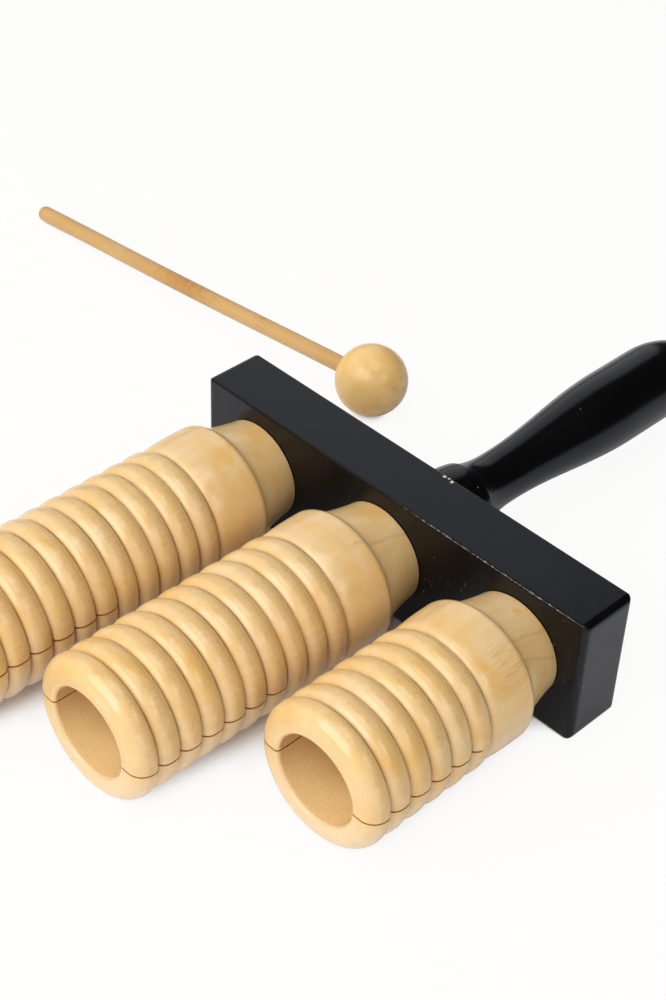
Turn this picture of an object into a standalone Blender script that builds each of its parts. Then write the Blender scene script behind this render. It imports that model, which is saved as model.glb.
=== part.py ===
"""Agogo block: turned, slit wooden tubes on a lacquered crossbar with a handle, and its ball mallet.

Metres, +Z up. The origin is the centre of the crossbar's underside. +X runs along the bar towards the
short tube, +Y points to the handle, and the tubes' mouths point to -Y.
"""

import math

import bmesh
import bpy
from mathutils import Matrix, Vector

# Clearance between pieces that touch or fit
GAP = 0.0003

# Crossbar
BAR_HEIGHT = 0.0507
BAR_DEPTH = 0.0233
BAR_END_MARGIN = 0.0023
BAR_EDGE_RADIUS = 0.0018
BAR_EDGE_STEPS = 3

# Tubes: the turned outline that all of them share
TUBE_DIAMETER = 0.0512
TUBE_CLEAR_WIDTH = 0.0102
FOOT_DIAMETER = 0.0380
NECK_DIAMETER = 0.0444
NECK_POWER = 1.3
NECK_SLOPE = math.radians(14.5)
COVE_RADIUS = 0.0025
SHOULDER_RADIUS = 0.0020
COLLAR_EDGE_LENGTH = 0.0023
BEAD_PITCH = 0.00895
BEAD_DEPTH = 0.0022
BEAD_POWER = 3
MOUTH_ROUND = 0.0058
BORE_DIAMETER = 0.0320
BORE_FLOOR = 0.0147
KERF_WIDTH = 0.0007

# Tubes one by one: neck up to the collar, collar, number of beads, and the saw kerf's length and roll
LONG_NECK = 0.0199
LONG_COLLAR = 0.0198
LONG_BEADS = 14
LONG_KERF = 0.0806
LONG_ROLL = math.radians(4.7)
MIDDLE_NECK = 0.0204
MIDDLE_COLLAR = 0.0181
MIDDLE_BEADS = 10
MIDDLE_KERF = 0.0627
MIDDLE_ROLL = math.radians(-4.2)
SHORT_NECK = 0.0189
SHORT_COLLAR = 0.0174
SHORT_BEADS = 6
SHORT_KERF = 0.0478
SHORT_ROLL = math.radians(-1.0)

# Handle, in the order of its turned stretches away from the bar
HANDLE_COLLAR_LENGTH = 0.0194
HANDLE_COLLAR_END_DIAMETER = 0.0272
HANDLE_COLLAR_CREST_DIAMETER = 0.0292
HANDLE_STEP = 0.0004
HANDLE_COVE_LENGTH = 0.0185
HANDLE_WAIST_DIAMETER = 0.0201
HANDLE_SWELL_LENGTH = 0.0630
HANDLE_GRIP_DIAMETER = 0.0296
HANDLE_GRIP_LENGTH = 0.0220
HANDLE_CAP_LENGTH = 0.0270
HANDLE_COVE_POWER = 2.6

# Glued dowels
DOWEL_DIAMETER = 0.0100
DOWEL_CHAMFER = 0.0010
BAR_SOCKET_FLOOR = 0.0070
TUBE_SOCKET_DEPTH = 0.0153
HANDLE_SOCKET_DEPTH = 0.0180

# Mallet: its head's place counts from the bar's middle and from the bar's back face
MALLET_HEAD_DIAMETER = 0.0291
MALLET_HEAD_FLAT_DIAMETER = 0.0096
MALLET_SOCKET_DEPTH = 0.0165
STICK_DIAMETER = 0.0068
STICK_LENGTH = 0.2043
MALLET_ALONG_BAR = -0.0829
MALLET_BEHIND_BAR = 0.0565
MALLET_TURN = math.radians(182.6)

# Facets
TUBE_SIDES = 24
HANDLE_SIDES = 24
MALLET_SIDES = 20
DOWEL_SIDES = 20
BEAD_STEPS = 4
ARC_STEPS = 5
HEAD_STEPS = 14
GRIP_STEPS = 8
SHARP_ANGLE = math.radians(50)
AXIS_MERGE = 0.00001
CUT_MARGIN = 0.002

# Sizes that follow from those above
TUBE_RADIUS = TUBE_DIAMETER / 2
TUBE_SPACING = TUBE_DIAMETER + TUBE_CLEAR_WIDTH
BAR_LENGTH = 2 * TUBE_SPACING + TUBE_DIAMETER + 2 * BAR_END_MARGIN
BAR_FRONT = -BAR_DEPTH / 2
BAR_BACK = BAR_DEPTH / 2
AXIS_HEIGHT = BAR_HEIGHT / 2
SOCKET_DIAMETER = DOWEL_DIAMETER + 2 * GAP
BAR_SOCKET_DEPTH = BAR_DEPTH - BAR_SOCKET_FLOOR
FLOOR_HEIGHT = min(0.0, AXIS_HEIGHT - TUBE_RADIUS)
TUBES = {
    "long_tube": {
        "place": -1,
        "neck": LONG_NECK,
        "collar": LONG_COLLAR,
        "beads": LONG_BEADS,
        "kerf": LONG_KERF,
        "roll": LONG_ROLL,
    },
    "middle_tube": {
        "place": 0,
        "neck": MIDDLE_NECK,
        "collar": MIDDLE_COLLAR,
        "beads": MIDDLE_BEADS,
        "kerf": MIDDLE_KERF,
        "roll": MIDDLE_ROLL,
    },
    "short_tube": {
        "place": 1,
        "neck": SHORT_NECK,
        "collar": SHORT_COLLAR,
        "beads": SHORT_BEADS,
        "kerf": SHORT_KERF,
        "roll": SHORT_ROLL,
    },
}

# Colours and finishes: colour, roughness
BLACK_LACQUER = ((0.012, 0.012, 0.013), 0.22)
PALE_WOOD = ((0.72, 0.50, 0.25), 0.45)
GOLDEN_WOOD = ((0.68, 0.43, 0.16), 0.42)
DOWEL_WOOD = ((0.60, 0.42, 0.24), 0.60)


def clear_scene():
    for obj in list(bpy.data.objects):
        bpy.data.objects.remove(obj, do_unlink=True)


def new_collection(name):
    collection = bpy.data.collections.new(name)
    bpy.context.scene.collection.children.link(collection)
    return collection


def new_empty(name, collection, location=(0, 0, 0), turn=None):
    empty = bpy.data.objects.new(name, None)
    empty.empty_display_size = 0.02
    empty.matrix_world = Matrix.Translation(location) @ (turn or Matrix.Identity(4))
    collection.objects.link(empty)
    return empty


def new_finish(name, finish):
    colour, roughness = finish
    material = bpy.data.materials.new(name + "_finish")
    material.use_nodes = True
    shader = material.node_tree.nodes["Principled BSDF"]
    shader.inputs["Base Color"].default_value = (*colour, 1.0)
    shader.inputs["Roughness"].default_value = roughness
    shader.inputs["Metallic"].default_value = 0.0
    return material


def new_piece(name, mesh, collection, parent=None, finish=None):
    piece = bpy.data.objects.new(name, mesh)
    collection.objects.link(piece)
    piece.parent = parent
    if finish:
        mesh.materials.append(new_finish(name, finish))
    return piece


def new_cutter(name, mesh):
    cutter = new_piece(name, mesh, cutters)
    cutter.hide_render = True
    cutter.display_type = "WIRE"
    return cutter


def mesh_from_bmesh(name, shape):
    mesh = bpy.data.meshes.new(name)
    shape.to_mesh(mesh)
    shape.free()
    return mesh


def box_mesh(name, size):
    shape = bmesh.new()
    bmesh.ops.create_cube(shape, size=1.0)
    bmesh.ops.scale(shape, vec=size, verts=shape.verts)
    return mesh_from_bmesh(name, shape)


def cylinder_mesh(name, diameter, length):
    """A round bar along local Z, centred on its own middle."""
    shape = bmesh.new()
    bmesh.ops.create_cone(
        shape,
        cap_ends=True,
        segments=DOWEL_SIDES,
        radius1=diameter / 2,
        radius2=diameter / 2,
        depth=length,
    )
    return mesh_from_bmesh(name, shape)


def profile_mesh(name, points):
    """Joined edges through (radius, height) points, at +X of the axis."""
    shape = bmesh.new()
    verts = [shape.verts.new((radius, 0.0, height)) for radius, height in points]
    for first, second in zip(verts, verts[1:]):
        shape.edges.new((first, second))
    return mesh_from_bmesh(name, shape)


def add_screw(piece, sides):
    """Turns the profile once round local Z."""
    screw = piece.modifiers.new("turned", "SCREW")
    screw.axis = "Z"
    screw.angle = 2 * math.pi
    screw.steps = sides
    screw.render_steps = sides
    screw.use_merge_vertices = True
    screw.merge_threshold = AXIS_MERGE
    screw.use_smooth_shade = True


def add_bevel(piece, width, segments):
    bevel = piece.modifiers.new("rounded_edges", "BEVEL")
    bevel.width = width
    bevel.segments = segments
    bevel.limit_method = "ANGLE"


def add_cut(piece, cutter):
    cut = piece.modifiers.new("cut_" + cutter.name, "BOOLEAN")
    cut.operation = "DIFFERENCE"
    cut.solver = "EXACT"
    cut.object = cutter


def shade_round(piece):
    piece.data.shade_smooth()
    piece.data.set_sharp_from_angle(angle=SHARP_ANGLE)


def along_y(direction):
    """The turn that points local +Z along world +Y (1) or -Y (-1)."""
    return Matrix.Rotation(-direction * math.pi / 2, 4, "X")


def steps_between(start, stop, count):
    """count values after start, up to and including stop."""
    return [start + (stop - start) * step / count for step in range(1, count + 1)]


def tube_x(tube):
    return tube["place"] * TUBE_SPACING


def tube_length(tube):
    return tube["neck"] + tube["collar"] + tube["beads"] * BEAD_PITCH


def mouth_profile(length, mouth_round):
    """From the bore's edge over the flat of the mouth and round to the crest of the first bead."""
    points = []
    for angle in [0.0] + steps_between(0.0, math.pi / 2, ARC_STEPS):
        radius = TUBE_RADIUS - mouth_round * (1 - math.sin(angle))
        points.append((radius, length - mouth_round * (1 - math.cos(angle))))
    return points


def bead_radius(part):
    """Radius on a bead, from 0 at its crest to -1 or 1 in the grooves beside it."""
    return TUBE_RADIUS - BEAD_DEPTH * abs(part) ** BEAD_POWER


def mouth_bead_profile(crest, groove):
    """From the crest of the bead at the mouth down into its groove."""
    parts_down = steps_between(0.0, 1.0, BEAD_STEPS // 2)
    return [(bead_radius(part), crest + (groove - crest) * part) for part in parts_down]


def bead_profile(groove):
    """Down one whole bead, from the groove above it to the groove below."""
    parts_down = steps_between(-1.0, 1.0, BEAD_STEPS)
    return [(bead_radius(part), groove + BEAD_PITCH * (1 - part) / 2) for part in parts_down]


def collar_edge_profile(collar_top):
    """Out of the last groove on to the smooth collar."""
    parts_down = steps_between(1.0, 0.0, BEAD_STEPS // 2)
    return [(bead_radius(part), collar_top - COLLAR_EDGE_LENGTH * (1 - part)) for part in parts_down]


def shoulder_profile(neck):
    """From the collar round the convex shoulder, through the concave cove and down the neck to the foot.

    The shoulder's and the cove's arcs touch where the line between their centres crosses them. The cove
    ends at the slope that the neck has there.
    """
    neck_radius = NECK_DIAMETER / 2
    foot_radius = FOOT_DIAMETER / 2
    cove_centre = neck_radius + COVE_RADIUS * math.cos(NECK_SLOPE)
    reach = SHOULDER_RADIUS + COVE_RADIUS
    rise = cove_centre - (TUBE_RADIUS - SHOULDER_RADIUS)
    turn = math.acos(max(-1.0, min(math.cos(NECK_SLOPE), rise / reach)))
    run = reach * math.sin(turn)
    scale = min(1.0, neck / run)
    points = []
    for angle in steps_between(0.0, turn, ARC_STEPS):
        radius = TUBE_RADIUS - SHOULDER_RADIUS * (1 - math.cos(angle))
        points.append((radius, neck - scale * SHOULDER_RADIUS * math.sin(angle)))
    for angle in steps_between(turn, NECK_SLOPE, ARC_STEPS - 1):
        radius = cove_centre - COVE_RADIUS * math.cos(angle)
        points.append((radius, neck - scale * (run - COVE_RADIUS * math.sin(angle))))
    neck_end = points[-1][1]
    for part in steps_between(1.0, 0.0, 4):
        points.append((foot_radius + (neck_radius - foot_radius) * part**NECK_POWER, neck_end * part))
    return points


def tube_profile(tube):
    """(radius, height) points: bore's floor, bore, mouth, beads, collar, shoulder, foot and dowel socket."""
    neck = tube["neck"]
    length = tube_length(tube)
    bore_radius = BORE_DIAMETER / 2
    mouth_round = min(MOUTH_ROUND, TUBE_RADIUS - bore_radius - GAP, BEAD_PITCH - GAP)
    bore_bottom = TUBE_SOCKET_DEPTH + BORE_FLOOR
    collar_top = neck + tube["collar"]
    points = [(0.0, bore_bottom), (bore_radius, bore_bottom), (bore_radius, length)]
    points += mouth_profile(length, mouth_round)
    points += mouth_bead_profile(length - mouth_round, length - BEAD_PITCH)
    for bead in reversed(range(tube["beads"] - 1)):
        points += bead_profile(collar_top + bead * BEAD_PITCH)
    points += collar_edge_profile(collar_top)
    points.append((TUBE_RADIUS, neck))
    points += shoulder_profile(neck)
    socket_radius = SOCKET_DIAMETER / 2
    points += [(socket_radius, 0.0), (socket_radius, TUBE_SOCKET_DEPTH), (0.0, TUBE_SOCKET_DEPTH)]
    return points


def make_tube(name, tube):
    piece = new_piece(name, profile_mesh(name, tube_profile(tube)), parts, block, PALE_WOOD)
    seat = Matrix.Translation((tube_x(tube), BAR_FRONT - GAP, AXIS_HEIGHT)) @ along_y(-1)
    piece.matrix_world = seat
    add_screw(piece, TUBE_SIDES)
    saw_size = (TUBE_DIAMETER + CUT_MARGIN, KERF_WIDTH, tube["kerf"] + CUT_MARGIN)
    saw = new_cutter(name + "_saw", box_mesh(name + "_saw", saw_size))
    middle = tube_length(tube) + (CUT_MARGIN - tube["kerf"]) / 2
    saw.matrix_world = seat @ Matrix.Rotation(tube["roll"], 4, "Z") @ Matrix.Translation((0, 0, middle))
    add_cut(piece, saw)


def handle_profile():
    """(radius, height) points: rounded end, grip, waist, cove, collar and dowel socket."""
    grip = HANDLE_GRIP_DIAMETER / 2
    waist = HANDLE_WAIST_DIAMETER / 2
    collar_end = HANDLE_COLLAR_END_DIAMETER / 2
    bulge = HANDLE_COLLAR_CREST_DIAMETER / 2 - collar_end
    cove_top = HANDLE_COLLAR_LENGTH + HANDLE_COVE_LENGTH
    swell_top = cove_top + HANDLE_SWELL_LENGTH
    cap_base = swell_top + HANDLE_GRIP_LENGTH
    points = [(0.0, cap_base + HANDLE_CAP_LENGTH)]
    for angle in steps_between(0.0, math.pi / 2, GRIP_STEPS):
        points.append((grip * math.sin(angle), cap_base + HANDLE_CAP_LENGTH * math.cos(angle)))
    points.append((grip, swell_top))
    for part in steps_between(0.0, 1.0, GRIP_STEPS):
        radius = waist + (grip - waist) * (1 + math.cos(math.pi * part)) / 2
        points.append((radius, swell_top - HANDLE_SWELL_LENGTH * part))
    rim = collar_end - HANDLE_STEP
    for part in steps_between(0.0, 1.0, ARC_STEPS):
        radius = waist + (rim - waist) * part**HANDLE_COVE_POWER
        points.append((radius, cove_top - HANDLE_COVE_LENGTH * part))
    for part in [-1.0] + steps_between(-1.0, 1.0, ARC_STEPS + 1):
        points.append((collar_end + bulge * (1 - part**2), HANDLE_COLLAR_LENGTH * (1 - part) / 2))
    socket_radius = SOCKET_DIAMETER / 2
    points += [(socket_radius, 0.0), (socket_radius, HANDLE_SOCKET_DEPTH), (0.0, HANDLE_SOCKET_DEPTH)]
    return points


def make_handle():
    piece = new_piece("handle", profile_mesh("handle", handle_profile()), parts, block, BLACK_LACQUER)
    piece.matrix_world = Matrix.Translation((0, BAR_BACK + GAP, AXIS_HEIGHT)) @ along_y(1)
    add_screw(piece, HANDLE_SIDES)


def make_crossbar():
    size = (BAR_LENGTH, BAR_DEPTH, BAR_HEIGHT)
    piece = new_piece("crossbar", box_mesh("crossbar", size), parts, block, BLACK_LACQUER)
    piece.matrix_world = Matrix.Translation((0, 0, BAR_HEIGHT / 2))
    add_bevel(piece, BAR_EDGE_RADIUS, BAR_EDGE_STEPS)
    for name, tube in TUBES.items():
        through = tube["place"] == 0
        depth = BAR_DEPTH + CUT_MARGIN if through else BAR_SOCKET_DEPTH
        bit = cylinder_mesh(name + "_drill", SOCKET_DIAMETER, depth + CUT_MARGIN)
        drill = new_cutter(name + "_drill", bit)
        middle = BAR_FRONT + (depth - CUT_MARGIN) / 2
        drill.matrix_world = Matrix.Translation((tube_x(tube), middle, AXIS_HEIGHT)) @ along_y(1)
        add_cut(piece, drill)


def make_dowel(name, x, front, back):
    """A chamfered dowel between the floors of its two sockets."""
    length = back - front - 2 * GAP
    piece = new_piece(name, cylinder_mesh(name, DOWEL_DIAMETER, length), parts, block, DOWEL_WOOD)
    piece.matrix_world = Matrix.Translation((x, (front + back) / 2, AXIS_HEIGHT)) @ along_y(1)
    add_bevel(piece, DOWEL_CHAMFER, 1)
    shade_round(piece)


def make_dowels():
    tube_floor = BAR_FRONT - GAP - TUBE_SOCKET_DEPTH
    for name, tube in TUBES.items():
        if tube["place"] == 0:
            make_dowel("centre_dowel", tube_x(tube), tube_floor, BAR_BACK + GAP + HANDLE_SOCKET_DEPTH)
        else:
            make_dowel(name + "_dowel", tube_x(tube), tube_floor, BAR_FRONT + BAR_SOCKET_DEPTH)


def head_profile():
    """(radius, height) points: the ball from its far pole round to the flat at the stick, and its socket."""
    radius = MALLET_HEAD_DIAMETER / 2
    flat = MALLET_HEAD_FLAT_DIAMETER / 2
    last = math.pi - math.asin(flat / radius)
    points = [(0.0, radius)]
    for angle in steps_between(0.0, last, HEAD_STEPS):
        points.append((radius * math.sin(angle), radius * math.cos(angle)))
    socket_radius = STICK_DIAMETER / 2 + GAP
    mouth = radius * math.cos(last)
    floor = mouth + MALLET_SOCKET_DEPTH
    points += [(socket_radius, mouth), (socket_radius, floor), (0.0, floor)]
    return points


def stick_profile():
    """(radius, height) points of the stick, from its square end in the head down to its rounded tail."""
    radius = STICK_DIAMETER / 2
    top = socket_floor() - GAP
    dome = top - STICK_LENGTH + radius
    points = [(0.0, top), (radius, top), (radius, dome)]
    for angle in steps_between(0.0, math.pi / 2, ARC_STEPS):
        points.append((radius * math.cos(angle), dome - radius * math.sin(angle)))
    return points


def socket_floor():
    """Height of the socket's floor above the ball's centre, along the mallet's axis."""
    radius = MALLET_HEAD_DIAMETER / 2
    flat = MALLET_HEAD_FLAT_DIAMETER / 2
    return MALLET_SOCKET_DEPTH - math.sqrt(radius**2 - flat**2)


def mallet_turn():
    """Local -Z points down the stick, which leans until its tail lies on the floor as the ball does."""
    head = MALLET_HEAD_DIAMETER / 2
    stick = STICK_DIAMETER / 2
    tail = STICK_LENGTH - stick + GAP - socket_floor()
    lean = math.asin((head - stick) / tail)
    flat = math.cos(lean)
    down = Vector((math.cos(MALLET_TURN) * flat, math.sin(MALLET_TURN) * flat, -math.sin(lean)))
    return (-down).to_track_quat("Z", "Y").to_matrix().to_4x4()


def make_mallet():
    place = (MALLET_ALONG_BAR, BAR_BACK + MALLET_BEHIND_BAR, FLOOR_HEIGHT + MALLET_HEAD_DIAMETER / 2)
    mallet = new_empty("mallet", parts, place, mallet_turn())
    for name, points in (("mallet_head", head_profile()), ("mallet_stick", stick_profile())):
        piece = new_piece(name, profile_mesh(name, points), parts, mallet, GOLDEN_WOOD)
        add_screw(piece, MALLET_SIDES)


clear_scene()
parts = new_collection("agogo_block")
cutters = new_collection("agogo_block_cutters")
block = new_empty("block", parts)
make_crossbar()
make_handle()
for tube_name, tube_sizes in TUBES.items():
    make_tube(tube_name, tube_sizes)
make_dowels()
make_mallet()
bpy.context.view_layer.update()
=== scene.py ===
# %% [markdown]
# # An agogo block, dressed for its picture
# The instrument is three ringed wooden tubes on a black bar with a turned handle, and a ball mallet beside
# it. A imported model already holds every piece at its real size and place. This script keeps that model as a
# fixed frame, lays finer surfaces over its pieces and gives them wood and lacquer.

# %% The fixed frame
import math

import bmesh
import bpy
import numpy as np
from mathutils import Matrix, Vector


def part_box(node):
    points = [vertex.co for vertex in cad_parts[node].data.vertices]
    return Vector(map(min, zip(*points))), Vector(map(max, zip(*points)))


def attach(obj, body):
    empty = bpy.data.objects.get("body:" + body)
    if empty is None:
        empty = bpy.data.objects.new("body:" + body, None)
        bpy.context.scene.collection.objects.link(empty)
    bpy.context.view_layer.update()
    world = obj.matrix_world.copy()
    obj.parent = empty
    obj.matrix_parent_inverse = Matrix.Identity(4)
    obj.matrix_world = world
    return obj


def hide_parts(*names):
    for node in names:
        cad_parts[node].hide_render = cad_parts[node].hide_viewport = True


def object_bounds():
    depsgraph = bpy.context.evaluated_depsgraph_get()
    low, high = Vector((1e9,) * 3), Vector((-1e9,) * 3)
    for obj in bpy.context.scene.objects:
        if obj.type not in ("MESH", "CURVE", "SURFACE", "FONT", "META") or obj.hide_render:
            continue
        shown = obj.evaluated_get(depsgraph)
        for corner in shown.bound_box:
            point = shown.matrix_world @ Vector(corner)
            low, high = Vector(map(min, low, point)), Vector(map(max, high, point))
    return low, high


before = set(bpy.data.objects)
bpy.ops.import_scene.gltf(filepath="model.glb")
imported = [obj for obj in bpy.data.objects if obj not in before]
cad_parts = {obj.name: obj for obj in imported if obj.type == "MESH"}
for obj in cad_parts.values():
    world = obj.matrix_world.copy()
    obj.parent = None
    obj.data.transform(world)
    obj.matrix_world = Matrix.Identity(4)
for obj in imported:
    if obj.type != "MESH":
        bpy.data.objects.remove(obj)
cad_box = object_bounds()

scene = bpy.context.scene

# %% [markdown]
# ## The camera
# The picture looks down on the block from the short tube's side. A camera can be turned by three angles, but
# a place, a point to look at and a small roll are easier to read and to change, so its axes are worked out
# from those.

# %% Camera
CAMERA_PLACE = Vector((0.335474, -0.380306, 0.458670))
CAMERA_TARGET = Vector((-0.030420, -0.004525, 0.025350))
CAMERA_ROLL = math.radians(2.53)
CAMERA_LENS = 68.955
SENSOR_WIDTH = 36.0

camera_data = bpy.data.cameras.new("photo_camera")
camera_data.lens = CAMERA_LENS
camera_data.sensor_width = SENSOR_WIDTH
camera = bpy.data.objects.new("photo_camera", camera_data)
look = (CAMERA_TARGET - CAMERA_PLACE).to_track_quat("-Z", "Y").to_matrix()
rolled = (look @ Matrix.Rotation(CAMERA_ROLL, 3, "Z")).to_4x4()
camera.matrix_world = Matrix.Translation(CAMERA_PLACE) @ rolled
scene.collection.objects.link(camera)
scene.camera = camera
print("camera stands %.3f m from its target" % (CAMERA_TARGET - CAMERA_PLACE).length)

# %% [markdown]
# ## From grids to meshes
# Every new piece here is a grid of points: one index runs along a profile, the other round or across it. A
# mesh could be grown face by face, but whole arrays are shorter and quicker. Grids that meet are welded where
# their points agree, which also closes seams and poles, and then the faces are turned outwards.

# %% Grids


def grid_faces(rows, columns):
    """Four-sided faces of a grid: each joins a point, its right neighbour and two points of the next row."""
    corner = np.arange(rows * columns).reshape(rows, columns)
    loops = [corner[:-1, :-1], corner[:-1, 1:], corner[1:, 1:], corner[1:, :-1]]
    return np.stack(loops, axis=-1).reshape(-1, 4)


def join_grids(grids):
    """One list of points and one of faces from several grids, each grid's numbers shifted past the last."""
    counts = [grid.shape[0] * grid.shape[1] for grid in grids]
    starts = np.cumsum([0] + counts[:-1])
    points = np.concatenate([grid.reshape(-1, 3) for grid in grids])
    faces = [grid_faces(*grid.shape[:2]) + start for grid, start in zip(grids, starts)]
    return points, np.concatenate(faces)


# %% Meshes
WELD = 2.0e-6
SHARP_ANGLE = math.radians(38)


def weld(mesh):
    """Merges points that agree, drops faces of no size, turns faces outwards and reports open edges."""
    work = bmesh.new()
    work.from_mesh(mesh)
    bmesh.ops.remove_doubles(work, verts=work.verts, dist=WELD)
    bmesh.ops.dissolve_degenerate(work, dist=WELD, edges=work.edges)
    bmesh.ops.recalc_face_normals(work, faces=work.faces)
    open_edges = sum(1 for edge in work.edges if len(edge.link_faces) != 2)
    work.to_mesh(mesh)
    work.free()
    return open_edges


def make_piece(name, grids, body, node):
    """Builds the piece from its grids, seats it on a body and hides the node of the frame that it stands in
    for.
    """
    points, faces = join_grids(grids)
    mesh = bpy.data.meshes.new(name)
    mesh.from_pydata(points.tolist(), [], faces.tolist())
    open_edges = weld(mesh)
    mesh.shade_smooth()
    mesh.set_sharp_from_angle(angle=SHARP_ANGLE)
    piece = bpy.data.objects.new(name, mesh)
    scene.collection.objects.link(piece)
    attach(piece, body)
    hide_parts(node)
    print("%s: %d faces, %d open edges" % (name, len(mesh.polygons), open_edges))
    return piece


# %% [markdown]
# ## The ringed tubes
# Each tube is turned from one stick: a neck that widens from the foot, a cove, a rounded shoulder, a plain
# collar and then a row of soft beads up to a rounded mouth. A lathe shape could be spun with the Screw
# modifier. Here the profile is written as arrays of heights and radii, because the slit needs the same
# heights again inside the bore.

# %% Sizes of a tube
MM = 0.001
TUBE_RADIUS = 25.6 * MM
FOOT_RADIUS = 19.0 * MM
NECK_RADIUS = 22.2 * MM
NECK_POWER = 1.3
NECK_SLOPE = math.radians(14.5)
COVE_RADIUS = 4.0 * MM
SHOULDER_RADIUS = 3.2 * MM
COLLAR_CROWN = 0.5 * MM
CROWN_LENGTH = 9.0 * MM
COLLAR_EDGE = 3.4 * MM
EDGE_LEAN = 0.22
BEAD_PITCH = 8.95 * MM
BEAD_DEPTH = 2.2 * MM
BEAD_POWER = 3
MOUTH_ROUND = 5.8 * MM
BORE_RADIUS = 16.0 * MM
BORE_FLOOR = 30.0 * MM
BORE_RIM = 1.6 * MM
SOCKET_RADIUS = 5.3 * MM
SOCKET_DEPTH = 15.3 * MM
QUARTER_TURN = math.pi / 2

# %% Turned profile of a tube
NECK_STEPS, ARC_STEPS, COLLAR_STEPS, EDGE_STEPS = 16, 10, 20, 10
BEAD_STEPS, CREST_STEPS, MOUTH_STEPS, FLAT_STEPS, RIM_STEPS = 16, 8, 14, 4, 8


def stretch(start, stop, count):
    """Even steps from start to stop without the first, which the stretch before has already placed."""
    return np.linspace(start, stop, count + 1)[1:]


def bead_drop(part):
    """How far a bead falls below its crest: its depth times the cube of the share out to its groove."""
    return BEAD_DEPTH * np.abs(part) ** BEAD_POWER


def tube_outside(neck, plain, beads):
    """Heights and radii from the foot to the bore's rim: a neck that widens by a power of its height, two
    arcs that share a tangent, a collar with a slight crown that falls into the first groove as a bead does,
    beads that fall by the cube of the distance from their crest, a quarter round, the flat mouth and a round
    rim."""
    collar_top = neck + plain
    length = collar_top + beads * BEAD_PITCH
    reach = COVE_RADIUS + SHOULDER_RADIUS
    apart = NECK_RADIUS + COVE_RADIUS * math.cos(NECK_SLOPE) - TUBE_RADIUS + SHOULDER_RADIUS
    turn = math.acos(apart / reach)
    cove_middle = neck - reach * math.sin(turn)
    neck_end = cove_middle + COVE_RADIUS * math.sin(NECK_SLOPE)
    widen = np.linspace(0, 1, NECK_STEPS + 1)
    cove, shoulder = stretch(NECK_SLOPE, turn, ARC_STEPS), stretch(turn, 0, ARC_STEPS)
    edge_start = collar_top - COLLAR_EDGE
    collar, edge = stretch(neck, edge_start, COLLAR_STEPS), stretch(0, 1, EDGE_STEPS)
    crown = COLLAR_CROWN * np.clip(1 - (edge_start - collar) / CROWN_LENGTH, 0, 1) ** 2
    edge_fall = EDGE_LEAN * edge + (1 - EDGE_LEAN) * edge**BEAD_POWER
    part = stretch(-1, 1, BEAD_STEPS)
    centres = collar_top + (np.arange(beads - 1) + 0.5) * BEAD_PITCH
    bead_heights = (centres[:, None] + part * BEAD_PITCH / 2).ravel()
    rise = stretch(-1, 0, CREST_STEPS)
    mouth, rim = stretch(0, QUARTER_TURN, MOUTH_STEPS), stretch(0, QUARTER_TURN, RIM_STEPS)
    crest = length - MOUTH_ROUND
    flat = stretch(TUBE_RADIUS - MOUTH_ROUND, BORE_RADIUS + BORE_RIM, FLAT_STEPS)
    heights = [
        widen * neck_end,
        cove_middle + COVE_RADIUS * np.sin(cove),
        neck - SHOULDER_RADIUS * np.sin(shoulder),
        collar,
        edge_start + COLLAR_EDGE * edge,
        bead_heights,
        crest + rise * (crest - (length - BEAD_PITCH)),
        crest + MOUTH_ROUND * np.sin(mouth),
        np.full_like(flat, length),
        length - BORE_RIM * (1 - np.cos(rim)),
    ]
    radii = [
        FOOT_RADIUS + (NECK_RADIUS - FOOT_RADIUS) * widen**NECK_POWER,
        NECK_RADIUS + COVE_RADIUS * (math.cos(NECK_SLOPE) - np.cos(cove)),
        TUBE_RADIUS - SHOULDER_RADIUS * (1 - np.cos(shoulder)),
        TUBE_RADIUS - crown,
        TUBE_RADIUS - COLLAR_CROWN - (BEAD_DEPTH - COLLAR_CROWN) * edge_fall,
        TUBE_RADIUS - np.tile(bead_drop(part), beads - 1),
        TUBE_RADIUS - bead_drop(rise),
        TUBE_RADIUS - MOUTH_ROUND * (1 - np.cos(mouth)),
        flat,
        BORE_RADIUS + BORE_RIM * (1 - np.sin(rim)),
    ]
    return np.concatenate(heights), np.concatenate(radii)


# %% [markdown]
# ## The saw slit
# A thin kerf runs through both side walls from the mouth, so the two halves can ring. A Boolean cut would
# work but leaves ragged faces along every bead. Instead each tube is two half shells that stop just short of
# each other: past the slit's end the gap is zero and the halves weld into one. Two narrow walls close each
# side of the slit.

# %% Half shells and slit walls
KERF_WIDTH = 0.7 * MM
KERF_TAPER = 0.3 * MM
HALF_TURN_STEPS = 64


def slit_half_width(heights, kerf_end):
    """Half the gap at each height: nothing below the slit's end, then opening over a short taper."""
    return KERF_WIDTH / 2 * np.clip((heights - kerf_end) / KERF_TAPER, 0, 1)


def slit_angle(heights, radii, kerf_end):
    """The angle that half the gap takes up on a circle of each radius."""
    half = slit_half_width(heights, kerf_end)
    return np.arcsin(np.divide(half, radii, out=np.zeros_like(radii), where=radii > half))


def around(heights, radii, angles):
    """Points of a turned surface: across, along and up from the tube's own axis."""
    across, up = radii[:, None] * np.cos(angles), radii[:, None] * np.sin(angles)
    return np.stack([across, np.broadcast_to(heights[:, None], across.shape), up], axis=-1)


def half_shell(heights, radii, kerf_end, side):
    """Half of the turned surface, from one edge of the slit round to the other."""
    gap = slit_angle(heights, radii, kerf_end)[:, None]
    share = np.linspace(0, 1, HALF_TURN_STEPS + 1)
    return around(heights, radii, side * math.pi + gap + (math.pi - 2 * gap) * share)


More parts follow.
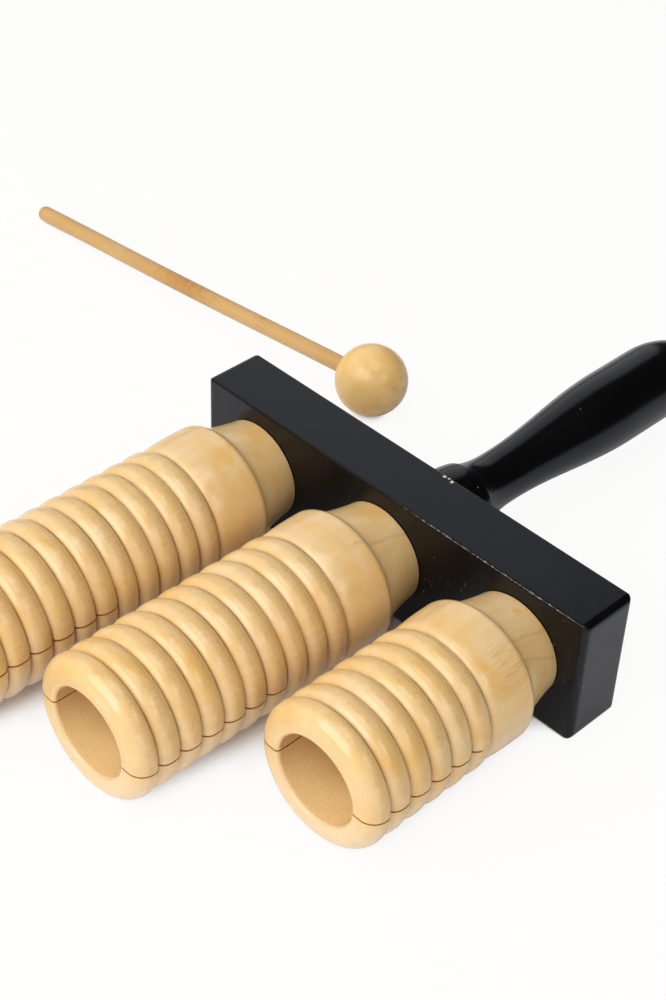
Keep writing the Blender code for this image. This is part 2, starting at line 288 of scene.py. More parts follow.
def slit_wall(outside, inside, kerf_end, side, end):
    """A flat strip that joins the shell's outer edge to the bore's edge at the same heights."""
    edges = []
    for heights, radii in (outside, inside):
        gap = slit_angle(heights, radii, kerf_end)
        angle = side * math.pi + (gap if end == 0 else math.pi - gap)
        edges.append(around(heights, radii, angle[:, None])[:, 0])
    return np.stack(edges, axis=1)


# %% Closed skin of a tube
DISC_STEPS, BORE_STEPS, FOOT_STEPS, SOCKET_STEPS = 4, 8, 2, 3


def tube_grids(neck, plain, beads, kerf_length):
    """The closed skin of a tube: two half shells of one profile loop, and four walls along the slit."""
    heights, radii = tube_outside(neck, plain, beads)
    length = heights.max()
    kerf_end = length - kerf_length
    climb = heights[: np.argmax(heights) + 1]
    extra = np.array([kerf_end, kerf_end + KERF_TAPER])
    order = np.searchsorted(climb, extra)
    radii = np.insert(radii, order, np.interp(extra, climb, radii[: len(climb)]))
    heights = np.insert(heights, order, extra)
    slit = heights >= kerf_end
    inner_heights = np.minimum(heights[slit], length - BORE_RIM)
    inner = inner_heights, np.full_like(inner_heights, BORE_RADIUS)
    below_slit = np.linspace(BORE_FLOOR, kerf_end, BORE_STEPS + 1)[:-1]
    bore_heights = np.concatenate([below_slit, np.unique(inner_heights)])
    disc = np.linspace(0, 1, DISC_STEPS + 1)[:-1]
    loop_heights = np.concatenate([
        np.full(DISC_STEPS, BORE_FLOOR), bore_heights, heights[::-1][1:], np.zeros(FOOT_STEPS),
        stretch(0, SOCKET_DEPTH, SOCKET_STEPS), np.full(SOCKET_STEPS, SOCKET_DEPTH)])
    loop_radii = np.concatenate([
        BORE_RADIUS * disc, np.full_like(bore_heights, BORE_RADIUS), radii[::-1][1:],
        stretch(FOOT_RADIUS, SOCKET_RADIUS, FOOT_STEPS), np.full(SOCKET_STEPS, SOCKET_RADIUS),
        stretch(SOCKET_RADIUS, 0, SOCKET_STEPS)])
    shells = [half_shell(loop_heights, loop_radii, kerf_end, side) for side in (0, 1)]
    outer = heights[slit], radii[slit]
    walls = [slit_wall(outer, inner, kerf_end, side, end) for side in (0, 1) for end in (0, 1)]
    return shells + walls


# %% [markdown]
# ## Three tubes on the bar
# The tubes differ only in length, in the number of beads and in how the slit was turned when they were glued
# on. Their axes and feet are read from the frame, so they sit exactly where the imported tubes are.

# %% Tubes
TUBES = {
    "long_tube": {"neck": 20.7 * MM, "plain": 19.0 * MM, "beads": 14, "kerf": 80.6 * MM, "degrees": 4.7},
    "middle_tube": {"neck": 21.2 * MM, "plain": 17.3 * MM, "beads": 10, "kerf": 62.7 * MM, "degrees": -4.2},
    "short_tube": {"neck": 19.7 * MM, "plain": 16.6 * MM, "beads": 6, "kerf": 47.8 * MM, "degrees": -1.0},
}


def stand_tube(grid, axis_x, foot_y, axis_z, roll):
    """Turns a grid about the tube's axis and carries it to its foot; heights then run out from the bar."""
    across, along, up = grid[..., 0], grid[..., 1], grid[..., 2]
    x = axis_x + across * math.cos(roll) - up * math.sin(roll)
    z = axis_z + across * math.sin(roll) + up * math.cos(roll)
    return np.stack([x, foot_y - along, z], axis=-1)


tubes = {}
for node, tube in TUBES.items():
    low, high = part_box(node)
    tube["axis"] = ((low.x + high.x) / 2, high.y, (low.z + high.z) / 2)
    tube["mouth"] = low.y
    tube["roll"] = math.radians(tube["degrees"])
    grids = tube_grids(tube["neck"], tube["plain"], tube["beads"], tube["kerf"])
    placed = [stand_tube(grid, *tube["axis"], tube["roll"]) for grid in grids]
    tubes[node] = make_piece("turned_" + node, placed, "block", node)

# %% [markdown]
# ## The crossbar
# The bar is a plain length of wood under thick lacquer. Its long edges are only just eased and its ends are
# rounded over further. A cube with a Bevel modifier gives every edge the same width, so here one section, a
# rectangle with small round corners, is carried along the bar. Near each end it draws in along a quarter
# circle, and flat caps close it.

# %% Section of the bar
BAR_CORNER = 0.8 * MM
CORNER_POINTS = 7
CORNER_SIGNS = np.array([(1, 1), (-1, 1), (-1, -1), (1, -1)])
FLAT_SHARES = np.array([0.01, 0.05, 0.15, 0.3, 0.5, 0.7, 0.85, 0.95, 0.99])


def bar_loop():
    """The section's points in two lists: their stand on the inner rectangle and the way out from it."""
    turn = np.linspace(0, QUARTER_TURN, CORNER_POINTS)
    stand, way = [], []
    for corner, sign in enumerate(CORNER_SIGNS):
        angle = turn + corner * QUARTER_TURN
        following = CORNER_SIGNS[(corner + 1) % len(CORNER_SIGNS)]
        stand += [np.tile(sign, (CORNER_POINTS, 1)), sign + FLAT_SHARES[:, None] * (following - sign)]
        out = np.stack([np.cos(angle), np.sin(angle)], axis=1)
        way += [out, np.tile(out[-1], (len(FLAT_SHARES), 1))]
    return np.concatenate(stand + [stand[0][:1]]), np.concatenate(way + [way[0][:1]])


# %% Crossbar
BAR_END_ROUND = 2.4 * MM
END_POINTS = 9
CAP_SHARES = np.array([0.0, 0.5, 0.95])
LENGTH_SHARES = np.concatenate([[-0.997], np.linspace(-0.98, 0.98, 51), [0.997]])


def bar_grid(half):
    """Rows of the section along the bar: drawn in by quarter circles at the ends, to points in the caps."""
    stand, way = bar_loop()
    turn = np.linspace(QUARTER_TURN, 0, END_POINTS)
    reach = half[0] - BAR_END_ROUND
    end_x, end_in = reach + BAR_END_ROUND * np.sin(turn), BAR_END_ROUND * (1 - np.cos(turn))
    cap_x, cap_in = np.full_like(CAP_SHARES, half[0]), np.full_like(CAP_SHARES, BAR_END_ROUND)
    along = np.concatenate([-cap_x, -end_x, LENGTH_SHARES * reach, end_x[::-1], cap_x])
    drawn_in = np.concatenate([cap_in, end_in, 0 * LENGTH_SHARES, end_in[::-1], cap_in])
    whole = np.ones(len(along) - 2 * len(CAP_SHARES))
    share = np.concatenate([CAP_SHARES, whole, CAP_SHARES[::-1]])
    inner = half[1:] - BAR_CORNER - drawn_in[:, None]
    section = share[:, None, None] * (inner[:, None, :] * stand + BAR_CORNER * way)
    across = np.broadcast_to(along[:, None, None], section.shape[:2] + (1,))
    return np.concatenate([across, section], axis=-1)


low, high = (np.array(corner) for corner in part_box("crossbar"))
bar_rows = (low + high) / 2 + bar_grid((high - low) / 2)
crossbar = make_piece("rounded_crossbar", [bar_rows], "block", "crossbar")

# %% [markdown]
# ## The handle
# The handle is turned too: a bulging collar against the bar, a step, a cove into a slim waist, a long swell
# to the grip and a domed end. Its profile is again heights and radii, this time carried once round a whole
# turn.

# %% Profile of the handle
COLLAR_LENGTH_BACK = 19.4 * MM
COLLAR_END_RADIUS = 13.6 * MM
COLLAR_CREST_RADIUS = 14.6 * MM
COLLAR_STEP = 0.4 * MM
WAIST_COVE_LENGTH = 18.5 * MM
WAIST_COVE_POWER = 2.6
WAIST_RADIUS = 10.05 * MM
SWELL_LENGTH = 63.0 * MM
GRIP_RADIUS = 14.8 * MM
GRIP_LENGTH = 22.0 * MM
CAP_LENGTH = 27.0 * MM
HANDLE_SOCKET_DEPTH = 18.0 * MM
BULGE_STEPS, WAIST_STEPS, SWELL_STEPS, GRIP_STEPS, DOME_STEPS = 24, 28, 40, 6, 32


def handle_profile():
    """Heights and radii from the socket's floor, out along the bar's face and on to the domed end: a
    parabola on the collar, a power curve down to the waist, half a cosine wave up to the grip and a quarter
    of an ellipse."""
    disc, face = np.linspace(0, 1, SOCKET_STEPS), stretch(0, 1, SOCKET_STEPS)
    bulge, cove, swell = stretch(-1, 1, BULGE_STEPS), stretch(0, 1, WAIST_STEPS), stretch(0, 1, SWELL_STEPS)
    grip, dome = stretch(0, 1, GRIP_STEPS), stretch(0, QUARTER_TURN, DOME_STEPS)
    waist_start = COLLAR_LENGTH_BACK + WAIST_COVE_LENGTH
    swell_end = waist_start + SWELL_LENGTH
    grip_end = swell_end + GRIP_LENGTH
    shoulder = COLLAR_END_RADIUS - COLLAR_STEP
    heights = [
        np.full_like(disc, HANDLE_SOCKET_DEPTH),
        HANDLE_SOCKET_DEPTH * stretch(1, 0, SOCKET_STEPS),
        np.zeros_like(face),
        COLLAR_LENGTH_BACK * (bulge + 1) / 2,
        np.full(1, COLLAR_LENGTH_BACK),
        COLLAR_LENGTH_BACK + WAIST_COVE_LENGTH * cove,
        waist_start + SWELL_LENGTH * swell,
        swell_end + GRIP_LENGTH * grip,
        grip_end + CAP_LENGTH * np.sin(dome),
    ]
    radii = [
        SOCKET_RADIUS * disc,
        np.full(SOCKET_STEPS, SOCKET_RADIUS),
        SOCKET_RADIUS + (COLLAR_END_RADIUS - SOCKET_RADIUS) * face,
        COLLAR_CREST_RADIUS - (COLLAR_CREST_RADIUS - COLLAR_END_RADIUS) * bulge**2,
        np.full(1, shoulder),
        WAIST_RADIUS + (shoulder - WAIST_RADIUS) * (1 - cove) ** WAIST_COVE_POWER,
        WAIST_RADIUS + (GRIP_RADIUS - WAIST_RADIUS) * (1 - np.cos(math.pi * swell)) / 2,
        np.full_like(grip, GRIP_RADIUS),
        GRIP_RADIUS * np.cos(dome),
    ]
    return np.concatenate(heights), np.concatenate(radii)


# %% Handle
TURN_STEPS = 112

low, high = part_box("handle")
handle_axis = ((low.x + high.x) / 2, low.y, (low.z + high.z) / 2)
full_turn = np.linspace(0, 2 * math.pi, TURN_STEPS + 1)
handle_grid = around(*handle_profile(), full_turn[None, :]) + np.array(handle_axis)
handle = make_piece("turned_handle", [handle_grid], "block", "handle")

# %% [markdown]
# ## The mallet
# A drilled wooden ball on a slim stick with a rounded tail. The stick lies from the ball's middle down to the
# table at its tail, so its axis leans a little. Real dowel is never quite straight: the path bows sideways by
# a hair.

# %% Mallet's own axis
STICK_RADIUS = 3.4 * MM

ball_low, ball_high = (np.array(corner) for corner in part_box("mallet_head"))
stick_low = np.array(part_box("mallet_stick")[0])
ball_radius = (ball_high[1] - ball_low[1]) / 2
ball_centre = np.array([ball_high[0] - ball_radius, ball_low[1] + ball_radius, ball_low[2] + ball_radius])
tail_centre = stick_low + STICK_RADIUS
tail_reach = np.linalg.norm(tail_centre - ball_centre)
stick_way = (tail_centre - ball_centre) / tail_reach
stick_side = np.cross((0.0, 0.0, 1.0), stick_way)
stick_side = stick_side / np.linalg.norm(stick_side)
stick_up = np.cross(stick_way, stick_side)
print("ball radius %.2f mm, tail %.1f mm from its middle" % (ball_radius / MM, tail_reach / MM))


def turn_on_stick(reaches, radii, bow):
    """Circles round the mallet's axis, each carried out along it and sideways by the bow at that reach."""
    across, up = radii[:, None] * np.cos(full_turn), radii[:, None] * np.sin(full_turn)
    path = ball_centre + reaches[:, None] * stick_way + bow[:, None] * stick_side
    return path[:, None, :] + across[..., None] * stick_side + up[..., None] * stick_up


# %% Ball
BALL_FLAT_RADIUS = 4.8 * MM
BALL_SOCKET_DEPTH = 16.5 * MM
FIT = 0.3 * MM
HOLE_RADIUS = STICK_RADIUS + FIT
HOLE_FLOOR_POINTS, HOLE_STEPS, BALL_FLAT_STEPS, BALL_STEPS = 4, 8, 2, 72

flat_reach = math.sqrt(ball_radius**2 - BALL_FLAT_RADIUS**2)
socket_floor = flat_reach - BALL_SOCKET_DEPTH
sweep = stretch(math.asin(BALL_FLAT_RADIUS / ball_radius), math.pi, BALL_STEPS)
ball_reaches = np.concatenate([
    np.full(HOLE_FLOOR_POINTS, socket_floor), stretch(socket_floor, flat_reach, HOLE_STEPS),
    np.full(BALL_FLAT_STEPS, flat_reach), ball_radius * np.cos(sweep)])
ball_radii = np.concatenate([
    np.linspace(0, HOLE_RADIUS, HOLE_FLOOR_POINTS), np.full(HOLE_STEPS, HOLE_RADIUS),
    stretch(HOLE_RADIUS, BALL_FLAT_RADIUS, BALL_FLAT_STEPS), ball_radius * np.sin(sweep)])
ball_radii[-1] = 0.0
ball_grid = turn_on_stick(ball_reaches, ball_radii, np.zeros_like(ball_reaches))
mallet_ball = make_piece("mallet_ball", [ball_grid], "mallet", "mallet_head")

# %% Stick
STICK_BOW = 0.7 * MM
BUTT_STEPS, STICK_POINTS, TAIL_STEPS = 3, 121, 14

butt = np.linspace(0, STICK_RADIUS, BUTT_STEPS + 1)[:-1]
run = np.linspace(socket_floor + FIT, tail_reach, STICK_POINTS)
dome = stretch(0, QUARTER_TURN, TAIL_STEPS)
stick_reaches = np.concatenate([np.full_like(butt, run[0]), run, tail_reach + STICK_RADIUS * np.sin(dome)])
stick_radii = np.concatenate([butt, np.full_like(run, STICK_RADIUS), STICK_RADIUS * np.cos(dome)])
stick_radii[-1] = 0.0
bow_share = np.clip((stick_reaches - flat_reach) / (tail_reach - flat_reach), 0, 1)
stick_grid = turn_on_stick(stick_reaches, stick_radii, STICK_BOW * np.sin(math.pi * bow_share) ** 2)
mallet_dowel = make_piece("mallet_dowel", [stick_grid], "mallet", "mallet_stick")

# %% [markdown]
# ## Building materials from nodes
# A material is a small tree of nodes. Placing each node by hand in code is wordy, so a few helpers place a
# node, feed its inputs with numbers or with other nodes' outputs, and hand back the output to use next.

# %% Placing nodes


def feed(tree, socket, value):
    """Links the socket to another node's output, or writes a plain value into it."""
    if isinstance(value, bpy.types.NodeSocket):
        tree.links.new(value, socket)
    else:
        socket.default_value = value


def place(tree, kind, inputs, **settings):
    """Adds a node of one kind, sets its own settings, then feeds the named inputs."""
    node = tree.nodes.new(kind)
    for key, value in settings.items():
        setattr(node, key, value)
    for key, value in inputs.items():
        feed(tree, node.inputs[key], value)
    return node


# %% Arithmetic


def number(tree, operation, *values):
    """One step of arithmetic on plain numbers or outputs."""
    return place(tree, "ShaderNodeMath", dict(enumerate(values)), operation=operation).outputs[0]


def times(tree, first, *others):
    """The product of plain numbers or outputs."""
    for other in others:
        first = number(tree, "MULTIPLY", first, other)
    return first


def scaled(tree, value, factor, offset):
    """A value times a factor, plus an offset."""
    return number(tree, "MULTIPLY_ADD", value, factor, offset)


def ramp(tree, value, start, stop):
    """0 up to start, 1 from stop on, and a smooth step between; the other way round if stop is the lower."""
    inputs = {"Value": value, "From Min": min(start, stop), "From Max": max(start, stop)}
    ends = {"To Min": 0.0, "To Max": 1.0} if stop > start else {"To Min": 1.0, "To Max": 0.0}
    return place(tree, "ShaderNodeMapRange", {**inputs, **ends}, interpolation_type="SMOOTHSTEP").outputs[0]


# %% Places and patterns


def axes(tree, spot):
    """A place's three numbers, by the names X, Y and Z."""
    return place(tree, "ShaderNodeSeparateXYZ", {0: spot}).outputs


def distance(tree, first, second):
    """How far apart two places are."""
    node = place(tree, "ShaderNodeVectorMath", {0: first, 1: second}, operation="DISTANCE")
    return node.outputs["Value"]


def stretched(tree, spot, factors):
    """The same place with each direction scaled, so that a pattern there is drawn out or squeezed."""
    return place(tree, "ShaderNodeVectorMath", {0: spot, 1: factors}, operation="MULTIPLY").outputs[0]


def drawn(tree, spot, along):
    """The same place with Y scaled: a factor below 1 draws a pattern out along the grain."""
    return stretched(tree, spot, (1.0, along, 1.0))


def noise(tree, spot, scale, detail=2.0, roughness=0.5, seed=0.0):
    """Cloudy noise about 0.5, of so many lumps a millimetre."""
    inputs = {"Vector": spot, "W": seed, "Scale": scale, "Detail": detail, "Roughness": roughness}
    return place(tree, "ShaderNodeTexNoise", inputs, noise_dimensions="4D").outputs[0]


def blend(tree, share, first, second, how="MIX"):
    """A colour between two, by a share from 0 to 1."""
    node = place(tree, "ShaderNodeMix", {0: share, 6: first, 7: second}, data_type="RGBA", blend_type=how)
    return node.outputs[2]


# %% Node groups
VECTOR, COLOUR, VALUE = "NodeSocketVector", "NodeSocketColor", "NodeSocketFloat"


def new_group(name, inputs, outputs):
    """An empty node group with named sockets; returns the tree, its inputs and its output node."""
    tree = bpy.data.node_groups.new(name, "ShaderNodeTree")
    for side, sockets in (("INPUT", inputs), ("OUTPUT", outputs)):
        for label, kind in sockets.items():
            tree.interface.new_socket(name=label, in_out=side, socket_type=kind)
    return tree, tree.nodes.new("NodeGroupInput").outputs, tree.nodes.new("NodeGroupOutput")


def give(tree, result, outputs):
    """Feeds a group's outputs by name and reports the group."""
    for label, value in outputs.items():
        feed(tree, result.inputs[label], value)
    print("group %s: %d nodes" % (tree.name, len(tree.nodes)))
    return tree


# %% [markdown]
# ## Grain of turned wood
# The tubes and the mallet are a pale, close wood. Its growth rings and fibres are faint, honey-coloured
# patches follow the turning, and dark fibres and pores gather in one place or another. A picture of wood
# would need unwrapping and would stretch on the beads. A solid pattern that fills space runs through the
# shape as real grain does. The group takes places in millimetres with the length along Y.

# %% Wood grain group


def build_wood_grain():
    """Rings by the distance from a far-off pith line, bent by noise; fibres and pores from noise drawn out
    along Y and stronger near one spot; patches from noise squeezed along Y; low waves of the clear finish in
    the height."""
    tree, given, result = new_group(
        "turned_wood_grain",
        {"Place": VECTOR, "Seed": VALUE, "Pith": VECTOR, "Pale": COLOUR, "Deep": COLOUR, "Warm": COLOUR,
         "Coarse spot": VECTOR, "Coarse reach": VALUE},
        {"Colour": COLOUR, "Height": VALUE, "Sheen": VALUE})
    spot, seed = given["Place"], given["Seed"]
    cloud_seed, patch_seed = number(tree, "ADD", seed, 7.0), number(tree, "ADD", seed, 13.0)
    bend = noise(tree, drawn(tree, spot, 0.2), 0.05, detail=3.0, seed=seed)
    from_pith = distance(tree, drawn(tree, spot, 0.0), given["Pith"])
    ring_phase = scaled(tree, bend, 26.0, times(tree, from_pith, 1.1))
    rings = scaled(tree, number(tree, "SINE", ring_phase), 0.5, 0.5)
    fibres = noise(tree, drawn(tree, spot, 0.06), 1.3, detail=4.0, roughness=0.6, seed=seed)
    clouds = noise(tree, drawn(tree, spot, 0.6), 0.06, detail=3.0, roughness=0.55, seed=cloud_seed)
    patches = noise(tree, drawn(tree, spot, 2.4), 0.06, detail=3.0, roughness=0.55, seed=patch_seed)
    away = distance(tree, spot, given["Coarse spot"])
    coarse = ramp(tree, number(tree, "DIVIDE", away, given["Coarse reach"]), 1.0, 0.3)
    pores = ramp(tree, noise(tree, drawn(tree, spot, 0.05), 3.2, seed=seed), 0.5, 0.7)
    pores = times(tree, pores, scaled(tree, coarse, 0.65, 0.04))
    deep = times(tree, ramp(tree, fibres, 0.38, 0.75), scaled(tree, coarse, 0.3, 0.12))
    deep = scaled(tree, rings, 0.12, deep)
    colour = blend(tree, deep, given["Pale"], given["Deep"])
    warm = times(tree, ramp(tree, patches, 0.42, 0.66), 0.5)
    warm = scaled(tree, ramp(tree, clouds, 0.42, 0.68), 0.45, warm)
    colour = blend(tree, warm, colour, given["Warm"])
    colour = blend(tree, times(tree, pores, 0.6), colour, given["Deep"], "MULTIPLY")
    waves = noise(tree, drawn(tree, spot, 0.5), 0.22, seed=seed)
    relief = number(tree, "SUBTRACT", times(tree, fibres, 0.4), times(tree, pores, 0.6))
    height = scaled(tree, waves, 4.0, relief)
    sheen = scaled(tree, clouds, 0.5, times(tree, patches, 0.5))
    return give(tree, result, {"Colour": colour, "Height": height, "Sheen": sheen})


wood_grain = build_wood_grain()

# %% [markdown]
# ## Marks of the turning tool and the saw, and painted shade
# Each groove is painted with a thin brown line of shade, and the half of each bead that faces the bar is
# painted tan as shade, where the front lamp's reflection does not reach. The bore is bare and fuzzy, with
# painted shade that browns it in its depth and along its upper side, and the saw left the slit dark. A
# point's place alone tells all of it, by its distances from the tube's axis, along it and from the slit's
# plane, so no image texture is needed.

# %% Turning marks group


def build_turning_marks():
    """Masks: groove where the radius nears the bead's foot, a band for painted shade on the half of a bead
    towards the bar with a ragged border, bore where the radius is the bore's, slit near the slit's plane."""
    tree, given, result = new_group(
        "turning_marks",
        {"Place": VECTOR, "Beads start": VALUE, "Length": VALUE, "Slit end": VALUE},
        {"Groove": VALUE, "Shaded band": VALUE, "Bore": VALUE, "Slit": VALUE})
    spot = given["Place"]
    split = axes(tree, spot)
    across = drawn(tree, spot, 0.0)
    radius = place(tree, "ShaderNodeVectorMath", {0: across}, operation="LENGTH").outputs["Value"]
    along = times(tree, split["Y"], -1.0)
    depth = number(tree, "SUBTRACT", TUBE_RADIUS / MM, radius)
    first_groove = number(tree, "SUBTRACT", given["Beads start"], 2.0)
    last_crest = number(tree, "SUBTRACT", given["Length"], (MOUTH_ROUND + MM) / MM)
    on_beads = times(
        tree, number(tree, "GREATER_THAN", along, first_groove), number(tree, "LESS_THAN", along, last_crest),
        number(tree, "LESS_THAN", depth, 1.5 * BEAD_DEPTH / MM))
    groove = times(tree, ramp(tree, depth, 0.7 * BEAD_DEPTH / MM, BEAD_DEPTH / MM), on_beads)
    past_start = number(tree, "SUBTRACT", along, given["Beads start"])
    beads_on = number(tree, "DIVIDE", past_start, BEAD_PITCH / MM)
    ragged = noise(tree, drawn(tree, spot, 0.4), 0.3, detail=3.0, roughness=0.6)
    phase = scaled(tree, ragged, -0.6, number(tree, "FRACT", beads_on))
    band = times(tree, ramp(tree, phase, 0.34, 0.18), number(tree, "GREATER_THAN", beads_on, 0.0))
    bore = ramp(tree, radius, BORE_RADIUS / MM + 0.35, BORE_RADIUS / MM + 0.05)
    off_plane = number(tree, "ABSOLUTE", split["Z"])
    near_slit = number(tree, "LESS_THAN", off_plane, KERF_WIDTH / MM / 2 + 0.02)
    slit = times(tree, near_slit, number(tree, "GREATER_THAN", along, given["Slit end"]))
    return give(tree, result, {"Groove": groove, "Shaded band": band, "Bore": bore, "Slit": slit})


turning_marks = build_turning_marks()

# %% [markdown]
# ## Satin wood for the tubes
# Each tube was cut from its own stick, so each gets its own copy of the finish: the same colours with another
# seed and pith. The Mapping node works backwards here: it takes the tube's axis and roll off a place and
# counts in millimetres.

# %% Starting and finishing a material
IN_MILLIMETRES = (MM, MM, MM)


def start_material(name, mapping):
    """A material with a Principled shader, and the piece's own places in millimetres off a Mapping node."""
    material = bpy.data.materials.new(name)
    material.use_nodes = True
    tree = material.node_tree
    shader = tree.nodes["Principled BSDF"]
    coordinates = tree.nodes.new("ShaderNodeTexCoord").outputs["Object"]
    inputs = {"Vector": coordinates, **mapping, "Scale": IN_MILLIMETRES}
    spot = place(tree, "ShaderNodeMapping", inputs, vector_type="TEXTURE").outputs[0]
    return material, tree, shader, spot


def add_group(tree, group, inputs):
    """Places a node group in a material and feeds its inputs."""
    return place(tree, "ShaderNodeGroup", inputs, node_tree=group).outputs


def set_surface(tree, shader, colour, roughness, height, strength, depth):
    """Feeds a shader its colour and roughness, and tilts its normal by a relief of this height."""
    bump = place(tree, "ShaderNodeBump", {"Strength": strength, "Distance": depth, "Height": height})
    for label, value in (("Base Color", colour), ("Roughness", roughness), ("Normal", bump.outputs[0])):
        feed(tree, shader.inputs[label], value)


def dress(piece, material):
    """Gives a piece its material and prints how many nodes that has."""
    piece.data.materials.append(material)
    print("%s wears %s: %d nodes" % (piece.name, material.name, len(material.node_tree.nodes)))


# %% Growth lines and flecks


def growth_line(tree, spot, seed, start, rise, reach):
    """Mask of one dark line down a tube: the angle round the axis stays near a start that rises with the
    distance along, wanders with noise and fades out past the line's reach."""
    split = axes(tree, spot)
    along = times(tree, split["Y"], -1.0)
    wander = scaled(tree, noise(tree, spot, 0.08, detail=1.0, seed=seed), 0.2, start - 0.1)
    angle = number(tree, "SUBTRACT", number(tree, "ARCTAN2", split["Z"], split["X"]), wander)
    off = number(tree, "ABSOLUTE", scaled(tree, along, -rise, angle))
    broken = ramp(tree, noise(tree, spot, 0.2, seed=seed), 0.2, 0.55)
    return times(tree, ramp(tree, along, reach, 0.7 * reach), ramp(tree, off, 0.06, 0.0), broken)


def fleck_and_shade_mask(tree, spot, seed, fleck_and_shade_spots):
    """Mask of soft spots, real marks on the tubes and painted shade on the ball: each fades away from its own
    spot, ragged by noise, up to its own strength.
    """
    ragged = noise(tree, spot, 0.35, detail=3.0, roughness=0.6, seed=seed)
    mask = 0.0
    for centre, reach, strength in fleck_and_shade_spots:
        away = scaled(tree, ragged, 1.2 * reach, distance(tree, spot, centre))
        mask = scaled(tree, ramp(tree, away, 1.6 * reach, 0.5 * reach), strength, mask)
    return mask


# %% Colours of skin and bore
# tan of the painted shade on the half of each bead that faces the bar
SHADED_BAND_TAN = (0.70, 0.44, 0.15, 1.0)
SPECK_BROWN = (0.46, 0.26, 0.09, 1.0)
PAINTED_TABLE_LIGHT = (0.87, 0.70, 0.50, 1.0)
FLECK_ORANGE = (0.80, 0.42, 0.09, 1.0)
GROWTH_LINE = (0.42, 0.25, 0.12, 1.0)
BORE_TAN = (0.99, 0.70, 0.32, 1.0)
BORE_SHADE_AND_FUZZ_BROWN = (0.46, 0.20, 0.055, 1.0)


def skin_colour(tree, spot, seed, grain, marks, lines, fleck_and_shade_spots):
    """Grain, a tan band of painted shade on the half of each bead that faces the bar, fine brown specks on
    the beads, a paler underside painted as light from the white table, orange spots and growth lines, each
    laid over the ones before."""
    # painted shade: the half of each bead that faces the bar, out of the front lamp's reflection, turns tan
    colour = blend(tree, times(tree, marks["Shaded band"], 0.45), grain["Colour"], SHADED_BAND_TAN)
    fine = noise(tree, drawn(tree, spot, 0.14), 1.8, detail=3.0, roughness=0.6, seed=seed)
    patchy = ramp(tree, noise(tree, spot, 0.12, seed=seed), 0.3, 0.65)
    specks = times(
        tree, ramp(tree, fine, 0.48, 0.68), scaled(tree, marks["Shaded band"], 0.24, 0.1),
        scaled(tree, patchy, 0.75, 0.25))
    colour = blend(tree, specks, colour, SPECK_BROWN)
    # painted light: the underside turns paler, as if lit from below by the white table
    below = scaled(tree, noise(tree, spot, 0.05, seed=seed), -16.0, axes(tree, spot)["Z"])
    colour = blend(tree, times(tree, ramp(tree, below, -6.0, -26.0), 0.75), colour, PAINTED_TABLE_LIGHT)
    colour = blend(tree, fleck_and_shade_mask(tree, spot, seed, fleck_and_shade_spots), colour, FLECK_ORANGE)
    for line in lines:
        dark = times(tree, growth_line(tree, spot, seed, *line), 0.28)
        colour = blend(tree, dark, colour, GROWTH_LINE)
    return colour


def bore_colour(tree, spot, from_mouth, fuzz):
    """Tan that turns brown with the depth and on the upper side, painted shade inside the bore, with brown
    fuzz over it.
    """
    # painted shade: browner deeper in the bore and along its upper side
    roof_shade = times(tree, ramp(tree, axes(tree, spot)["Z"], -13.0, 5.0), 0.66)
    bore_shade = number(tree, "MAXIMUM", ramp(tree, from_mouth, 4.0, 60.0), roof_shade)
    bare = blend(tree, bore_shade, BORE_TAN, BORE_SHADE_AND_FUZZ_BROWN)
    return blend(tree, times(tree, ramp(tree, fuzz, 0.36, 0.72), 0.26), bare, BORE_SHADE_AND_FUZZ_BROWN)


# %% Satin wood
CREAM = (0.84, 0.60, 0.31, 1.0)
TAN = (0.66, 0.41, 0.15, 1.0)
HONEY = (0.79, 0.47, 0.14, 1.0)
END_GRAIN = (0.80, 0.55, 0.25, 1.0)
# brown of the painted shade in the grooves
GROOVE_SHADE_BROWN = (0.20, 0.095, 0.03, 1.0)
SAW_BROWN = (0.58, 0.28, 0.07, 1.0)
CLEAR_FINISH_IOR = 1.55
FIBRE_RELIEF = 0.1 * MM


def make_tube_wood(name, tube, seed, pith, coarse_spot, coarse_reach, lines, fleck_and_shade_spots):
    """The skin's colour, duller end grain at the mouth, then bore, the painted shade of the grooves and slit
    over it by their masks; satin, a little shinier on the warm patches."""
    off_axis = {"Location": tube["axis"], "Rotation": (0.0, -tube["roll"], 0.0)}
    material, tree, shader, spot = start_material(name, off_axis)
    length = (tube["axis"][1] - tube["mouth"]) / MM
    grain = add_group(tree, wood_grain, {
        "Place": spot, "Seed": seed, "Pith": pith, "Pale": CREAM, "Deep": TAN, "Warm": HONEY,
        "Coarse spot": coarse_spot, "Coarse reach": coarse_reach})
    marks = add_group(tree, turning_marks, {
        "Place": spot, "Length": length, "Beads start": (tube["neck"] + tube["plain"]) / MM,
        "Slit end": length - tube["kerf"] / MM})
    from_mouth = number(tree, "ADD", axes(tree, spot)["Y"], length)
    fuzz = noise(tree, drawn(tree, spot, 0.6), 2.4, detail=4.0, roughness=0.65, seed=seed)
    colour = skin_colour(tree, spot, seed, grain, marks, lines, fleck_and_shade_spots)
    colour = blend(tree, times(tree, ramp(tree, from_mouth, 4.5, 0.4), 0.45), colour, END_GRAIN)
    colour = blend(tree, marks["Bore"], colour, bore_colour(tree, spot, from_mouth, fuzz))
    # painted shade: each groove darkens to a thin brown line, patchy by noise
    patchy = ramp(tree, noise(tree, spot, 0.05, detail=3.0, roughness=0.6, seed=seed), 0.35, 0.65)
    groove_shade = times(tree, marks["Groove"], scaled(tree, patchy, 0.45, 0.2))
    colour = blend(tree, groove_shade, colour, GROOVE_SHADE_BROWN)
    colour = blend(tree, marks["Slit"], colour, SAW_BROWN)
    rough = scaled(tree, marks["Bore"], 0.4, scaled(tree, grain["Sheen"], -0.12, 0.26))
    height = scaled(tree, times(tree, marks["Bore"], fuzz), 2.0, grain["Height"])
    set_surface(tree, shader, colour, rough, height, 0.35, FIBRE_RELIEF)
    shader.inputs["IOR"].default_value = CLEAR_FINISH_IOR
    return material


